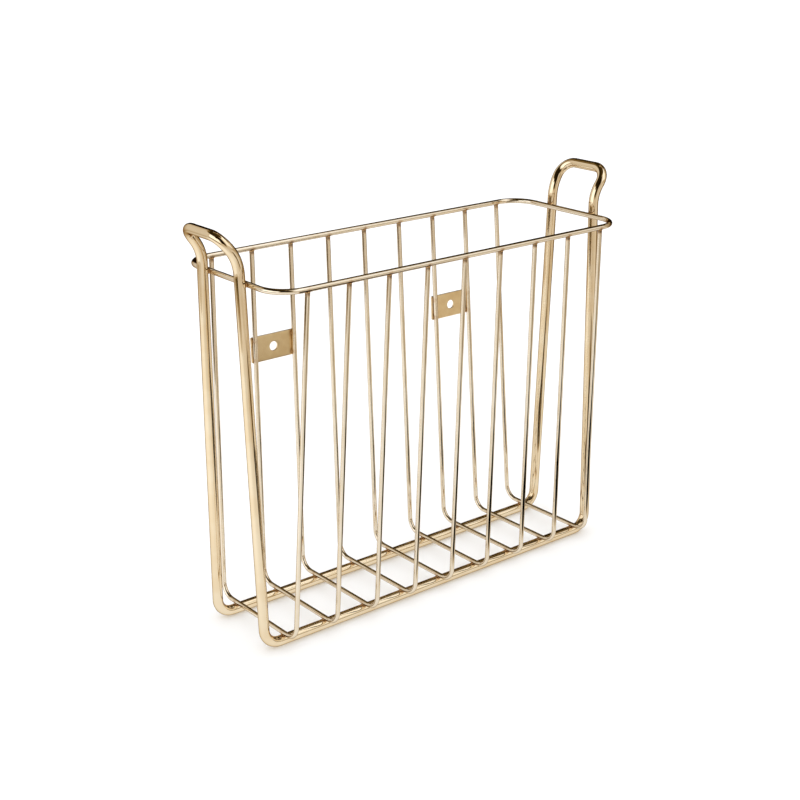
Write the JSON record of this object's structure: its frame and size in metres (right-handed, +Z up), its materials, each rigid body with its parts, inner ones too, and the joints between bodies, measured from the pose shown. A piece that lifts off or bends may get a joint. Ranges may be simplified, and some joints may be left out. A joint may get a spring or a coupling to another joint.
{
  "type": "wall magazine rack",
  "caption": "Open basket of welded plated wire for magazines, with a rounded rim and outward-leaning end handles, hung by screw plates on its back or stood on its rails.",
  "frame": {"origin": "on the floor or desk top, under the middle of the rack", "axes": "+X along the length, to the right of someone facing the rack; +Y towards the wall; +Z up"},
  "size_m": [0.3366, 0.1106, 0.2821],
  "materials": {
    "plated_wire": "polished",
    "plated_plate": "satin"
  },
  "bodies": {
    "root": {"heavy_frame": "plated_wire", "top_rim": "plated_wire", "basket_wire_1": "plated_wire", "basket_wire_2": "plated_wire", "basket_wire_3": "plated_wire", "basket_wire_4": "plated_wire", "basket_wire_5": "plated_wire", "basket_wire_6": "plated_wire", "basket_wire_7": "plated_wire", "basket_wire_8": "plated_wire", "basket_wire_9": "plated_wire", "wall_bracket_left": "plated_plate", "wall_bracket_right": "plated_plate"}
  },
  "joints": []
}
